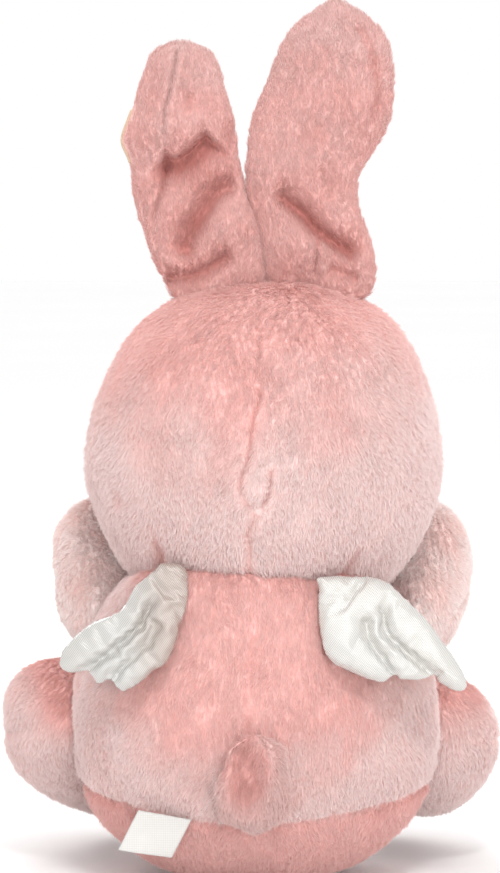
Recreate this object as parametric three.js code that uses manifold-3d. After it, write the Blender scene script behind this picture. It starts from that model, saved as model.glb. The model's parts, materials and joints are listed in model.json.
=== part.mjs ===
// Sitting plush bunny with satin wings, modelled as its sewn panels, fillings and trim.
// Millimetres, +Z up, face towards -Y. Each soft piece is a plain closed solid.
import * as THREE from 'three';
import { mergeVertices } from 'three/addons/utils/BufferGeometryUtils.js';
import Module from 'manifold-3d';

const wasm = await Module();
wasm.setup();

// Driving dimensions
const GAP = 0.4; // between two sewn pieces
const CLOTH = 2.2; // plush fabric with its backing
const MIDDLE_X = -2.5; // the head and arms sit slightly to the bunny's right
const HEAD = { centre: new THREE.Vector3(-3, -5, 145), radius: 61.5 };
const CUP_RADIUS = 62.6; // hollow in the top of the body that the head turns in
const BODY_DEPTH = 0.84; // depth of the body over its width
const BODY_OUTLINE = [ // half width and height, from the flat base to the neck
  [0, 0], [27, 0], [38, 5.5], [48, 12.5], [57, 22], [62, 34], [63.5, 48],
  [62.5, 64], [59, 80], [53, 93], [46.5, 104], [34, 114], [0, 119],
];
const SIDE_SEAM_Y = -8;
const BASE_SEAM = { z: 21, slope: 0.09 }; // height at y = 0 and rise towards the back
const EAR_HINGE = new THREE.Vector3(0, -2, 203);
const EAR_SWING = 45;
const STUFFING_TOP = 193; // the head's filling ends under the ear sockets
const ARM_SWING = { down: 14, up: 2 };
const LEG_SWING = 10;
const WING_THICKNESS = 7;
const LABEL = { width: 18, length: 14.5, thickness: 1.2, tilt: 28 };

const AXIS_X = new THREE.Vector3(1, 0, 0);
const AXIS_Y = new THREE.Vector3(0, 1, 0);
const AXIS_Z = new THREE.Vector3(0, 0, 1);
const SIDES = { left: 1, right: -1 };
const sideNames = Object.keys(SIDES);

const group = new THREE.Group();
const plush = { color: 0xecb3ac, roughness: 0.95, metalness: 0 };
const lining = { color: 0xd6b8a0, roughness: 0.7, metalness: 0 };
const satin = { color: 0xf1efec, roughness: 0.35, metalness: 0 };
const filling = { color: 0xf7f6f2, roughness: 1, metalness: 0 };
const pouchCloth = { color: 0xdedad2, roughness: 0.9, metalness: 0 };
const blackPlastic = { color: 0x1c1512, roughness: 0.12, metalness: 0 };
const thread = { color: 0xb5626a, roughness: 0.6, metalness: 0 };
const ribbon = { color: 0xf8f6f0, roughness: 0.5, metalness: 0 };

// Geometry to solid and back

function toSolid(geometry) {
  const bare = geometry.index ? geometry.toNonIndexed() : geometry.clone();
  bare.deleteAttribute('normal');
  bare.deleteAttribute('uv');
  const merged = mergeVertices(bare, 1e-3);
  const corners = [];
  for (let i = 0; i < merged.index.count; i += 3) {
    const [a, b, c] = [0, 1, 2].map((k) => merged.index.getX(i + k));
    if (a !== b && b !== c && c !== a) corners.push(a, b, c);
  }
  const vertProperties = new Float32Array(merged.attributes.position.array);
  return new wasm.Manifold(new wasm.Mesh({
    numProp: 3, vertProperties, triVerts: new Uint32Array(corners),
  }));
}

// Cuts can leave loose slivers beside a panel: only its largest part is the panel
function addPiece(name, solid, look) {
  const parts = solid.decompose().sort((a, b) => b.volume() - a.volume());
  const { vertProperties, triVerts } = parts[0].getMesh();
  const geometry = new THREE.BufferGeometry();
  geometry.setAttribute('position', new THREE.BufferAttribute(vertProperties, 3));
  geometry.setIndex(new THREE.BufferAttribute(triVerts, 1));
  geometry.computeVertexNormals();
  const mesh = new THREE.Mesh(geometry, new THREE.MeshStandardMaterial(look));
  mesh.name = name;
  group.add(mesh);
}

function turned(geometry, pivot, axis, degrees) {
  const matrix = new THREE.Matrix4().makeRotationAxis(axis, THREE.MathUtils.degToRad(degrees));
  return geometry.clone()
    .translate(-pivot.x, -pivot.y, -pivot.z)
    .applyMatrix4(matrix)
    .translate(pivot.x, pivot.y, pivot.z);
}

// The space that a piece passes through as it swings
function swept(geometry, pivot, axis, angles) {
  return angles
    .map((degrees) => toSolid(turned(geometry, pivot, axis, degrees)))
    .reduce((all, one) => all.add(one));
}

// The part of a solid that lies on the side of a plane that its normal points to
function keep(solid, point, normal) {
  const size = 1000;
  const box = new THREE.BoxGeometry(size, size, size);
  const turn = new THREE.Quaternion().setFromUnitVectors(AXIS_Z, normal.clone().normalize());
  box.translate(0, 0, size / 2 + GAP / 2);
  box.applyQuaternion(turn);
  box.translate(point.x, point.y, point.z);
  return solid.intersect(toSolid(box));
}

// Both sides of a plane, the one that its normal points to first
function halves(solid, point, normal) {
  return [keep(solid, point, normal), keep(solid, point, normal.clone().negate())];
}

// Value at s, from 0 to 1, of a list of evenly spaced values
function along(values, s) {
  const place = s * (values.length - 1);
  const i = Math.min(Math.floor(place), values.length - 2);
  return THREE.MathUtils.lerp(values[i], values[i + 1], place - i);
}

// A round-ended body along a path. Its width is measured towards side; grow swells it evenly.
function limb({ path, width, depth, side, round = 0.55 }, grow = 0, around = 12, rows = 9) {
  const curve = new THREE.CatmullRomCurve3(path.map((p) => new THREE.Vector3(...p)));
  const geometry = new THREE.SphereGeometry(1, around, rows);
  const position = geometry.attributes.position;
  const unit = new THREE.Vector3();
  for (let i = 0; i < position.count; i += 1) {
    unit.fromBufferAttribute(position, i);
    const s = THREE.MathUtils.clamp((1 - unit.y) / 2, 0, 1);
    const ring = Math.hypot(unit.x, unit.z);
    const fullness = ring < 1e-6 ? 0 : ring ** round;
    const tangent = curve.getTangentAt(s);
    const across = side.clone().addScaledVector(tangent, -side.dot(tangent)).normalize();
    const through = new THREE.Vector3().crossVectors(tangent, across);
    const point = curve.getPointAt(s).addScaledVector(tangent, -grow * unit.y);
    if (ring > 1e-6) {
      point.addScaledVector(across, (unit.x / ring) * (along(width, s) * fullness + grow * ring));
      point.addScaledVector(through, (unit.z / ring) * (along(depth, s) * fullness + grow * ring));
    }
    position.setXYZ(i, point.x, point.y, point.z);
  }
  return geometry;
}

function ball(centre, radius, around = 24, rows = 14) {
  const geometry = new THREE.SphereGeometry(radius, around, rows);
  geometry.rotateX(Math.PI / 2);
  return geometry.translate(centre.x, centre.y, centre.z);
}

// Body shape, shrunk evenly by inset
function bodyShape(inset, around) {
  const outline = BODY_OUTLINE.map(([r, z], i) => {
    const middle = 52;
    const out = r === 0 ? 0 : Math.max(r - inset, 0.5);
    const flat = i < 2;
    const pull = inset * Math.sign(middle - z) * (flat ? 1 : Math.abs(middle - z) / 66);
    return new THREE.Vector2(out, z + pull);
  });
  const geometry = new THREE.LatheGeometry(outline, around);
  geometry.rotateX(Math.PI / 2);
  geometry.scale(1, BODY_DEPTH, 1);
  return geometry;
}

// Fixed limb shapes; dx is measured from the middle line towards the limb's own side

const LEG = {
  left: { middle: 1.8, lift: 2 },
  right: { middle: 1.8, lift: -2.5 },
};

function sideAxis(name) {
  return AXIS_X.clone().multiplyScalar(SIDES[name]);
}

function armForm(name) {
  const x = (dx) => MIDDLE_X + SIDES[name] * dx;
  return {
    path: [[x(40), -8, 78], [x(53), -24, 88], [x(56), -42, 103], [x(54), -58, 111],
      [x(50), -77, 109]],
    width: [13, 16.5, 17, 16.5, 14],
    depth: [13, 16.5, 17.5, 17, 14],
    side: sideAxis(name),
  };
}

function legForm(name) {
  const { middle, lift } = LEG[name];
  const x = (dx) => middle + SIDES[name] * dx;
  return {
    path: [[x(48), -2, 46 + lift], [x(62), -20, 47 + lift], [x(61), -48, 41 + lift / 2],
      [x(50), -74, 31], [x(42), -97, 29]],
    width: [18, 25, 23.5, 20, 19],
    depth: [18, 26, 25, 25, 27.5],
    side: sideAxis(name),
    round: 0.5,
  };
}

const EAR_FORM = {
  left: {
    path: [[15.5, -2, 195.5], [17, -2, 212], [22.5, -1, 236], [25.5, 0, 256], [25, 2, 286.5]],
    width: [19, 20, 19.5, 19.5, 11],
    depth: [6, 6.5, 6.5, 6.5, 5],
  },
  right: {
    path: [[-23, -2, 195.5], [-22.5, -2, 212], [-17.5, -1, 236], [-23, 0, 262], [-27, 3, 300]],
    width: [19, 19, 20, 24, 17],
    depth: [6, 6.5, 6.5, 7, 5.5],
  },
};

function earForm(name) {
  return { ...EAR_FORM[name], side: AXIS_X.clone(), round: 0.35 };
}

// The wings hang from their roots and follow the slope of the back. Each outline is given in the
// wing's own plane, outwards and upwards from the root, going round by way of the feather tips.
const WING = {
  left: {
    root: new THREE.Vector3(24.8, 45.5, 111),
    outline: [
      [-2.5, -4.6], [-1.7, -0.9], [1, 0.8], [5.6, 1.3], [8.7, -1], [12.5, -3.9], [16.6, -7.6],
      [19.7, -12.3], [25.1, -16.2], [31.3, -19.9], [37.5, -25.2], [40.8, -30.3], [41, -34.3],
      [37.2, -36.7], [32, -36.1], [28.3, -40], [23.9, -39.1], [19.5, -42.5], [14, -39.7],
      [9.2, -35.6], [4.5, -31.8], [1.8, -26.2], [-0.3, -19.6], [-2.1, -11.8],
    ],
  },
  right: {
    root: new THREE.Vector3(-24.8, 45.5, 106),
    outline: [
      [-3.9, -2.9], [-4.1, 1], [2.5, 1.7], [8.7, 1.4], [14.9, 0.6], [19.8, -1.4], [25.6, -6.1],
      [31.3, -11], [35.7, -16], [41, -22.2], [45.8, -28.9], [47.5, -34.3], [44.4, -36.1],
      [37.4, -34.4], [35.3, -32.6], [29.2, -34], [23.5, -33.2], [21.5, -32.2], [17, -34.9],
      [13.2, -34.2], [7.9, -31.8], [2.5, -28.6], [-0.7, -25.7], [-2.5, -21.9], [-3.7, -12.4],
    ],
  },
};
const WING_LEAN = 14;
const WING_SWEEP = 10;

// Moves each point of an outline inwards, across the line between its neighbours
function insetOutline(points, inset) {
  return points.map(([x, y], i) => {
    const [before, after] = [points.at(i - 1), points[(i + 1) % points.length]];
    const along = new THREE.Vector2(after[0] - before[0], after[1] - before[1]).normalize();
    return new THREE.Vector2(x + along.y * inset, y - along.x * inset);
  });
}

// A wing layer between two depths behind the wing's own plane
function wingLayer(name, from, to, inset) {
  const { root, outline } = WING[name];
  const side = SIDES[name];
  const edge = insetOutline(outline, inset).map(({ x, y }) => new THREE.Vector2(side * x, y));
  const geometry = new THREE.ExtrudeGeometry(new THREE.Shape(edge), {
    depth: to - from, bevelEnabled: false,
  });
  return geometry.translate(0, 0, -to)
    .rotateX(Math.PI / 2 + THREE.MathUtils.degToRad(WING_LEAN))
    .rotateZ(-side * THREE.MathUtils.degToRad(WING_SWEEP))
    .translate(root.x, root.y, root.z);
}

// Head

function onHead(turn, rise, radius) {
  const [a, b] = [turn, rise].map(THREE.MathUtils.degToRad);
  const direction = new THREE.Vector3(
    Math.sin(a) * Math.cos(b), -Math.cos(a) * Math.cos(b), Math.sin(b),
  );
  return { direction, point: HEAD.centre.clone().addScaledVector(direction, radius) };
}

// Stands a geometry made along +Z on the head, with its zero on the head's surface
function standOnHead(geometry, turn, rise) {
  const { direction, point } = onHead(turn, rise, HEAD.radius);
  const stand = new THREE.Quaternion().setFromUnitVectors(AXIS_Z, direction);
  return geometry.applyQuaternion(stand).translate(point.x, point.y, point.z);
}

function lathe(points, around) {
  const geometry = new THREE.LatheGeometry(points.map((p) => new THREE.Vector2(...p)), around);
  return geometry.rotateX(Math.PI / 2);
}

const EYE = { turn: 24, rise: 4, radius: 6, shank: 2, depth: 9 };
const MUZZLE = { rise: -17, width: 20, height: 14, depth: 12, sunk: 3.5 };

function eyeShape() {
  return lathe([
    [0, -EYE.depth], [EYE.shank, -EYE.depth], [EYE.shank, 0.4], [EYE.radius - 0.4, 0.4],
    [EYE.radius, 1.2], [EYE.radius * 0.85, 3], [EYE.radius * 0.5, 4.3], [0, 4.8],
  ], 12);
}

function washerShape(grow) {
  const [inner, outer, low, high] = [2.5, 7 + grow, -5.4 - grow, -3.9 + grow];
  return lathe([[inner, low], [outer, low], [outer, high], [inner, high], [inner, low]], 10);
}

function muzzleShape(grow) {
  const geometry = new THREE.SphereGeometry(1, 14, 9);
  geometry.scale(MUZZLE.width + grow, MUZZLE.height + grow, MUZZLE.depth + grow);
  geometry.translate(0, 0, -MUZZLE.sunk);
  const { point } = onHead(0, MUZZLE.rise, HEAD.radius);
  geometry.rotateX(THREE.MathUtils.degToRad(90 - MUZZLE.rise));
  return geometry.translate(point.x, point.y, point.z);
}

function noseShape(grow) {
  const geometry = new THREE.SphereGeometry(1, 10, 6);
  geometry.scale(5.5 + grow, 3 + grow, 3.8 + grow);
  const { point } = onHead(0, MUZZLE.rise + 8.5, HEAD.radius + 7.4);
  return geometry.translate(point.x, point.y, point.z);
}

function mouthShape() {
  const spots = [[-9, -23.5, 7.2], [-6, -25, 8.4], [-2.5, -24, 9.7], [0, -21.5, 10],
    [2.5, -24, 9.7], [6, -25, 8.4], [9, -23.5, 7.2]];
  const points = spots.map(([turn, rise, out]) => onHead(turn, rise, HEAD.radius + out).point);
  const circle = new THREE.Shape().absarc(0, 0, 0.7, 0, Math.PI * 2);
  return new THREE.ExtrudeGeometry(circle, {
    steps: 14, curveSegments: 3, bevelEnabled: false,
    extrudePath: new THREE.CatmullRomCurve3(points),
  });
}

const earSpace = sideNames
  .map((name) => swept(limb(earForm(name), 0.9), EAR_HINGE, AXIS_X,
    [-EAR_SWING, 0, EAR_SWING]))
  .reduce((all, one) => all.add(one));

function buildHead() {
  const { centre, radius } = HEAD;
  const muzzle = toSolid(muzzleShape(0));
  const nose = toSolid(noseShape(0));
  const eyes = sideNames.map((name) => toSolid(standOnHead(eyeShape(), SIDES[name] * EYE.turn,
    EYE.rise)));
  const holes = sideNames.map((name) => {
    const hole = new THREE.CylinderGeometry(EYE.shank + GAP, EYE.shank + GAP, 30, 12);
    return toSolid(standOnHead(hole.rotateX(Math.PI / 2), SIDES[name] * EYE.turn, EYE.rise));
  });
  const recesses = sideNames.map((name) => {
    const recess = lathe([[0, -12], [8.5, -12], [8.5, 0], [0, 0]], 10);
    return toSolid(standOnHead(recess, SIDES[name] * EYE.turn, EYE.rise));
  });

  let shell = toSolid(ball(centre, radius))
    .subtract(toSolid(ball(centre, radius - CLOTH, 20, 12)));
  shell = shell.subtract(earSpace);
  holes.forEach((hole) => { shell = shell.subtract(hole); });
  const [back, front] = halves(shell, new THREE.Vector3(0, SIDE_SEAM_Y, 0), AXIS_Y);
  const seam = new THREE.Vector3(centre.x + 1, 0, 0);
  halves(back, seam, AXIS_X).forEach((part, i) => {
    addPiece(`head_back_${sideNames[i]}`, part, plush);
  });
  halves(front, seam, AXIS_X).forEach((part, i) => {
    addPiece(`head_front_${sideNames[i]}`, part, plush);
  });

  let stuffing = toSolid(ball(centre, radius - CLOTH - 0.8, 20, 12));
  stuffing = keep(stuffing, new THREE.Vector3(0, 0, STUFFING_TOP), AXIS_Z.clone().negate());
  recesses.forEach((recess) => { stuffing = stuffing.subtract(recess); });
  addPiece('head_stuffing', stuffing, filling);

  const outside = toSolid(ball(centre, radius + GAP));
  const pad = muzzle.subtract(outside).subtract(toSolid(noseShape(GAP)));
  addPiece('muzzle_pad', pad, plush);
  addPiece('nose', nose, thread);
  addPiece('mouth_stitch', toSolid(mouthShape()), thread);
  sideNames.forEach((name, i) => {
    addPiece(`eye_${name}`, eyes[i], blackPlastic);
    const washer = toSolid(standOnHead(washerShape(0), SIDES[name] * EYE.turn, EYE.rise));
    addPiece(`eye_washer_${name}`, washer, pouchCloth);
  });
}

// Body

const neckWad = { inner: CUP_RADIUS + 0.4, outer: 70, spread: 27 };

function neckWadShape(grow) {
  const reach = THREE.MathUtils.degToRad(neckWad.spread + grow);
  const steps = 4;
  const arc = (r) => Array.from({ length: steps + 1 }, (_, i) => {
    const angle = (reach * i) / steps;
    return [r * Math.sin(angle), -r * Math.cos(angle)];
  });
  const inner = grow > 0 ? neckWad.inner - 8 : neckWad.inner;
  const points = [...arc(neckWad.outer + grow), ...arc(inner).reverse()];
  const { x, y, z } = HEAD.centre;
  return lathe(points, 16).translate(x, y, z);
}

const armHinge = new THREE.Vector3(0, -8, 80);
const legHinge = new THREE.Vector3(0, -4, 47);

// Angles follow the right-hand rule about +X: a positive turn lowers a piece that points to -Y
const armAngles = [-ARM_SWING.up, ARM_SWING.down / 2, ARM_SWING.down];
const legAngles = [-LEG_SWING, -LEG_SWING / 2, 0];

function buildBody() {
  const limbSpace = (grow, around, rows) => sideNames.flatMap((name) => [
    swept(limb(armForm(name), grow, around, rows), armHinge, AXIS_X, armAngles),
    swept(limb(legForm(name), grow, around, rows), legHinge, AXIS_X, legAngles),
  ]).reduce((all, one) => all.add(one));
  const cup = toSolid(ball(HEAD.centre, CUP_RADIUS)).add(toSolid(neckWadShape(0.6)));

  const outer = toSolid(bodyShape(0, 24));
  const cavity = toSolid(bodyShape(CLOTH, 18));
  const shell = outer.subtract(cavity).subtract(cup).subtract(limbSpace(0.9));
  const seam = new THREE.Vector3(0, 0, BASE_SEAM.z);
  const up = new THREE.Vector3(0, -BASE_SEAM.slope, 1);
  const [wall, base] = halves(shell, seam, up);
  addPiece('seat_base', base, plush);
  const [back, belly] = halves(wall, new THREE.Vector3(0, SIDE_SEAM_Y, 0), AXIS_Y);
  halves(back, new THREE.Vector3(1, 0, 0), AXIS_X).forEach((part, i) => {
    addPiece(`body_back_${sideNames[i]}`, part, plush);
  });
  addPiece('belly_panel', belly, plush);

  const pouchForm = (grow) => {
    const geometry = new THREE.SphereGeometry(1, 16, 9);
    return toSolid(geometry.scale(36 + grow, 30 + grow, 19 + grow).translate(0, -3, 5));
  };
  const inside = toSolid(bodyShape(CLOTH + 0.7, 18));
  addPiece('bean_pouch', inside.intersect(pouchForm(0)), pouchCloth);
  const core = inside.subtract(cup).subtract(limbSpace(6.5, 6, 5));
  addPiece('body_stuffing', core.subtract(pouchForm(GAP)), filling);
  addPiece('neck_wad', toSolid(neckWadShape(0)), filling);
}

// Limbs

function buildLimb(form, point, normal, parts, cuts = []) {
  const outer = cuts.reduce((solid, cut) => solid.subtract(cut), toSolid(limb(form)));
  const shell = outer.subtract(toSolid(limb(form, -CLOTH, 10, 7)));
  const stuffing = cuts.reduce((solid, cut) => solid.subtract(cut),
    toSolid(limb(form, -CLOTH - 1, 10, 7)));
  const [first, second] = halves(shell, point, normal);
  addPiece(parts[0], first, plush);
  addPiece(parts[1], second, parts[1].endsWith('lining') ? lining : plush);
  addPiece(parts[2], stuffing, filling);
}

function buildArms() {
  sideNames.forEach((name) => {
    const normal = new THREE.Vector3(0, 0.42, 0.91);
    buildLimb(armForm(name), new THREE.Vector3(0, -42, 100), normal,
      [`arm_${name}_upper`, `arm_${name}_lower`, `arm_${name}_stuffing`]);
  });
}

function buildLegs() {
  sideNames.forEach((name) => {
    const form = legForm(name);
    const middle = new THREE.Vector3(0, -50, 40 + LEG[name].lift / 2);
    const normal = new THREE.Vector3(0, -0.2, 0.98);
    const solePoint = new THREE.Vector3(0, -88, 30);
    const forward = new THREE.Vector3(0, -1, 0);
    const shell = toSolid(limb(form)).subtract(toSolid(limb(form, -CLOTH, 10, 7)));
    const [sole, sleeve] = halves(shell, solePoint, forward);
    const [upper, lower] = halves(sleeve, middle, normal);
    addPiece(`leg_${name}_upper`, upper, plush);
    addPiece(`leg_${name}_lower`, lower, plush);
    addPiece(`foot_${name}_sole`, sole, plush);
    addPiece(`leg_${name}_stuffing`, toSolid(limb(form, -CLOTH - 1, 10, 7)), filling);
  });
}

function buildEars() {
  const leftSpace = toSolid(limb(earForm('left'), 1));
  sideNames.forEach((name) => {
    const cuts = name === 'right' ? [leftSpace] : [];
    buildLimb(earForm(name), new THREE.Vector3(0, -1.5, 0), AXIS_Y,
      [`ear_${name}_back`, `ear_${name}_lining`, `ear_${name}_stuffing`], cuts);
  });
}

function buildWings() {
  const half = WING_THICKNESS / 2;
  sideNames.forEach((name) => {
    const layer = (from, to, inset) => toSolid(wingLayer(name, from, to, inset));
    addPiece(`wing_${name}_outer`, layer(half - 1, half, 0), satin);
    addPiece(`wing_${name}_inner`, layer(-half, -half + 1, 0), satin);
    addPiece(`wing_${name}_batting`, layer(-half + 1 + GAP, half - 1 - GAP, 1), filling);
  });
}

function buildTail() {
  const form = {
    path: [[0, 55.5, 23.5], [0, 59, 30.5], [0, 60.5, 42], [1, 59.8, 56.5]],
    width: [12, 13.5, 13.5, 9],
    depth: [6, 7, 6.5, 6],
    side: AXIS_X.clone(),
  };
  buildLimb(form, new THREE.Vector3(0, 61, 0), AXIS_Y,
    ['tail_outer', 'tail_inner', 'tail_stuffing']);
}

function buildLabel() {
  const tag = new THREE.BoxGeometry(LABEL.width, LABEL.thickness, LABEL.length);
  tag.translate(0, 0, -LABEL.length / 2);
  tag.rotateY(THREE.MathUtils.degToRad(-LABEL.tilt));
  addPiece('care_label', toSolid(tag.translate(29.5, 45.2, 25.5)), ribbon);
}

buildHead();
buildBody();
buildArms();
buildLegs();
buildEars();
buildWings();
buildTail();
buildLabel();

// The origin is under the middle of the whole toy, on the surface that it sits on
const bounds = new THREE.Box3().setFromObject(group);
const middle = bounds.getCenter(new THREE.Vector3());
group.position.set(-middle.x, -middle.y, -bounds.min.z);

export default group;
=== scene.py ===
"""Sitting plush bunny with satin wings: the looks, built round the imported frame.

Lengths in the tables below are millimetres from the toy's own design origin, which lies under the
middle of its body. place() turns them into metres in the frame.
"""

import json
import math

import bmesh
import bpy
import numpy as np
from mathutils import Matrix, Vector
from mathutils.bvhtree import BVHTree
from mathutils.geometry import delaunay_2d_cdt


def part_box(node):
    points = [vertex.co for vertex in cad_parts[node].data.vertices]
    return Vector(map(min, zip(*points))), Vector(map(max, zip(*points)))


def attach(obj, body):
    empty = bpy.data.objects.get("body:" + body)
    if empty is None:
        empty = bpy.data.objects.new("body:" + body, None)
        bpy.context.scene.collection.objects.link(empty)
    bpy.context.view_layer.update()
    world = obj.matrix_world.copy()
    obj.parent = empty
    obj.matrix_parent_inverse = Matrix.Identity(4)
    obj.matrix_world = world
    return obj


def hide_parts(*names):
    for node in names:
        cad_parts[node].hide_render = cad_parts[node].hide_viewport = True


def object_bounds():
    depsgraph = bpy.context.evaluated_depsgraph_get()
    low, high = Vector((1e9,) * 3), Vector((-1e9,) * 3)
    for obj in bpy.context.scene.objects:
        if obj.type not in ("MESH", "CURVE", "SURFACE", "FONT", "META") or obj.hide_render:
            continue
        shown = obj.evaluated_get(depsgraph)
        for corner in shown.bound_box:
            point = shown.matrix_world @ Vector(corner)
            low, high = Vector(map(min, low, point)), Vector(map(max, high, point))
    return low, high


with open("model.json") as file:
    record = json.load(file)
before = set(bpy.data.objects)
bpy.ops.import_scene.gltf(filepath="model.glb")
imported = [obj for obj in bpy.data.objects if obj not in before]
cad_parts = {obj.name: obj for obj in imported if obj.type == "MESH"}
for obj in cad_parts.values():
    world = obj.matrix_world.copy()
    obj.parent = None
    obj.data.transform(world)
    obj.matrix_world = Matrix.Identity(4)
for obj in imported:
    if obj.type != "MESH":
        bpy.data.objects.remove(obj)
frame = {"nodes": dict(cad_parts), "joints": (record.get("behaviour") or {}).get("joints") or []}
cad_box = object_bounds()

MM = 0.001
JOINTS = {joint["name"]: joint for joint in frame["joints"]}
HEAD_PIVOT = np.array([-3.0, -5.0, 145.0])  # the head's middle, from the design origin
ORIGIN = np.array(JOINTS["head_turn"]["pos_m"]) - HEAD_PIVOT * MM
SIDES = {"left": 1.0, "right": -1.0}
DOWN = np.array([0.0, 0.0, -1.0])
PILE_DENSITY = 6.0  # strands per square millimetre
SIM_SCALE = 10  # cloth is simulated this many times larger, where the solver is steady
CLOTH_FRAMES = 20


def place(points):
    """Design millimetres to metres in the frame."""
    return np.asarray(points, float) * MM + ORIGIN


# Numbers on surfaces


def unit(vectors):
    return vectors / np.maximum(np.linalg.norm(vectors, axis=-1, keepdims=True), 1e-12)


def waves(points, size, seed, count=14):
    """A smooth random value, about -1 to 1, whose bumps are about size across."""
    rng = np.random.default_rng(seed)
    total = np.zeros(len(points))
    for direction in unit(rng.normal(size=(count, 3))):
        pitch = 2 * math.pi / (size * rng.uniform(0.75, 1.5))
        total += np.sin(points @ direction * pitch + rng.uniform(0, 2 * math.pi))
    return total / math.sqrt(count) * 0.8


def to_path(points, path, spacing=1.0):
    """Distance from each point to a path, and the share of the path where it is nearest."""
    path = smooth_path(path, spacing)
    best = np.full(len(points), np.inf)
    where = np.zeros(len(points))
    for i, spot in enumerate(path):
        gap = np.linalg.norm(points - spot, axis=1)
        nearer = gap < best
        best[nearer] = gap[nearer]
        where[nearer] = i / (len(path) - 1)
    return best, where


def smooth_path(points, spacing):
    """A Catmull-Rom curve through the points, with a step about every spacing."""
    points = np.asarray(points, float)
    if len(points) == 2:
        steps = max(int(np.linalg.norm(points[1] - points[0]) / spacing), 1)
        return points[0] + (points[1] - points[0]) * np.linspace(0, 1, steps + 1)[:, None]
    ends = np.vstack([2 * points[0] - points[1], points, 2 * points[-1] - points[-2]])
    found = []
    for a, b, c, d in zip(ends, ends[1:], ends[2:], ends[3:]):
        steps = max(int(np.linalg.norm(c - b) / spacing), 1)
        t = np.linspace(0, 1, steps, endpoint=False)[:, None]
        found.append(bend(a, b, c, d, t))
    return np.vstack([*found, points[-1:]])


def bend(a, b, c, d, t):
    """Points at shares t of the Catmull-Rom curve from b to c."""
    return 0.5 * (2 * b + (c - a) * t + (2 * a - 5 * b + 4 * c - d) * t**2
                  + (3 * b - a - 3 * c + d) * t**3)


def smoothstep(low, high, value):
    t = np.clip((value - low) / (high - low), 0, 1)
    return t * t * (3 - 2 * t)


def smooth_flat(line, spacing=0.6):
    return smooth_path([(x, 0, y) for x, y in line], spacing)[:, [0, 2]]


def beside(points, line):
    """Distance of flat points from a line, their side of it, and the share where it is nearest."""
    best = np.full(len(points), np.inf)
    turn, where = np.zeros((2, len(points)))
    for i, (a, b) in enumerate(zip(line, line[1:])):
        step = b - a
        t = np.clip(((points - a) @ step) / max(step @ step, 1e-12), 0, 1)
        off = points - a - t[:, None] * step
        gap = np.linalg.norm(off, axis=1)
        nearer = gap < best
        best[nearer] = gap[nearer]
        turn[nearer] = (step[0] * off[:, 1] - step[1] * off[:, 0])[nearer]
        where[nearer] = (i + t[nearer]) / (len(line) - 1)
    return best, turn, where


def flat_gap(points, line):
    return beside(points, line)[0]


def closed(edge):
    return np.vstack([edge, edge[:1]])


def winding(points, edge):
    """Whether each flat point lies inside a closed edge."""
    inside = np.zeros(len(points), bool)
    for (x0, y0), (x1, y1) in zip(edge, np.roll(edge, -1, axis=0)):
        if y0 == y1:
            continue
        at = x0 + (points[:, 1] - y0) / (y1 - y0) * (x1 - x0)
        inside ^= ((y0 > points[:, 1]) != (y1 > points[:, 1])) & (points[:, 0] < at)
    return inside


# Depths at which a groove or a pressed fold gets the full painted shade of the fold colour
FOLD_DEPTH = 1.8  # a groove this deep counts as fully sunk
BEND_DEPTH = 6.0  # and so is a pressed fold this deep
FLOOR_GAP = 0.05


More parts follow.
